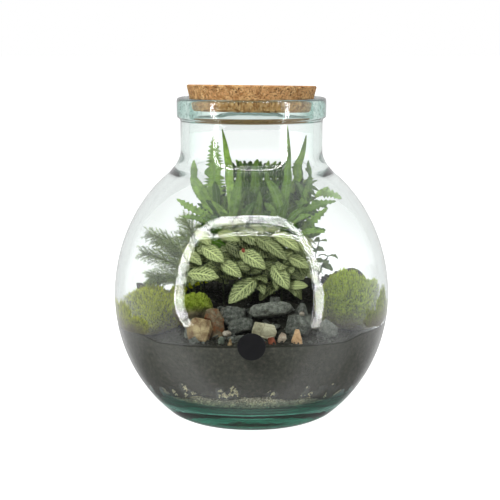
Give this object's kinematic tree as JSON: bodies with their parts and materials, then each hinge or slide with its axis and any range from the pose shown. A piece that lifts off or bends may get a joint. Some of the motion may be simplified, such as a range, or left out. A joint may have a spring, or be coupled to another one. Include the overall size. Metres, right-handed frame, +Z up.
{
  "type": "glass plant terrarium",
  "caption": "Closed terrarium: round bellied glass jar with a cork stopper, planted with ribbon fern, nerve plant, asparagus fern and moss over stones, soil and gravel.",
  "frame": {"origin": "middle of the foot ring, on the surface that the jar stands on", "axes": "+Z up along the jar's axis, -Y towards the front where the label and the stones are, +X to the viewer's right"},
  "size_m": [0.269, 0.2691, 0.3268],
  "materials": {
    "glass": "clear recycled glass, green where it is thick",
    "cork": "matte pressed cork granules with dark specks",
    "label": "satin black, blank",
    "gravel": "matte, pale beige crumbs",
    "soil": "matte, dark moist potting soil",
    "slate": "matte, split grey slate",
    "tan_stone": "matte",
    "rust_stone": "matte",
    "pale_stone": "matte",
    "moss": "soft and matte, fine upright shoots",
    "bark": "matte, rough",
    "fern_leaf": "satin",
    "nerve_leaf": "satin, pale veins on dark green",
    "plume": "matte, fine needles",
    "sprig_leaf": "satin"
  },
  "bodies": {
    "root": {"glass_jar": "glass", "cork_stopper": "cork", "label_disc": "label", "gravel_layer": "gravel", "soil": "soil", "stone_tan": "tan_stone", "stone_rust": "rust_stone", "slate_flake": "slate", "slate_left": "slate", "slate_brown": "slate", "slate_slab": "slate", "slate_behind": "slate", "slate_back_right": "slate", "pebble_white": "pale_stone", "slate_big_right": "slate", "slate_far_right": "slate", "stone_cream": "pale_stone", "slate_under": "slate", "pebble_pale": "pale_stone", "chip_tan": "tan_stone", "chip_green": "slate", "chip_red": "rust_stone", "chip_rust": "rust_stone", "pebble_pink": "pale_stone", "chip_orange": "tan_stone", "stone_grey_left": "slate", "moss_left": "moss", "moss_right": "moss", "moss_ball": "moss", "moss_back": "moss", "bark_piece": "bark", "fern_frond_1": "fern_leaf", "fern_frond_2": "fern_leaf", "fern_frond_3": "fern_leaf", "fern_frond_4": "fern_leaf", "fern_frond_5": "fern_leaf", "fern_frond_6": "fern_leaf", "fern_frond_7": "fern_leaf", "fern_frond_8": "fern_leaf", "fern_frond_9": "fern_leaf", "fern_frond_10": "fern_leaf", "fern_frond_11": "fern_leaf", "fern_frond_12": "fern_leaf", "nerve_stem_1": "nerve_leaf", "nerve_stem_2": "nerve_leaf", "nerve_stem_3": "nerve_leaf", "nerve_stem_4": "nerve_leaf", "nerve_stem_5": "nerve_leaf", "nerve_stem_6": "nerve_leaf", "nerve_stem_7": "nerve_leaf", "plume_spray_1": "plume", "plume_spray_2": "plume", "plume_spray_3": "plume", "plume_spray_4": "plume", "plume_spray_5": "plume", "plume_spray_6": "plume", "sprig_1": "sprig_leaf", "sprig_2": "sprig_leaf"}
  },
  "joints": []
}
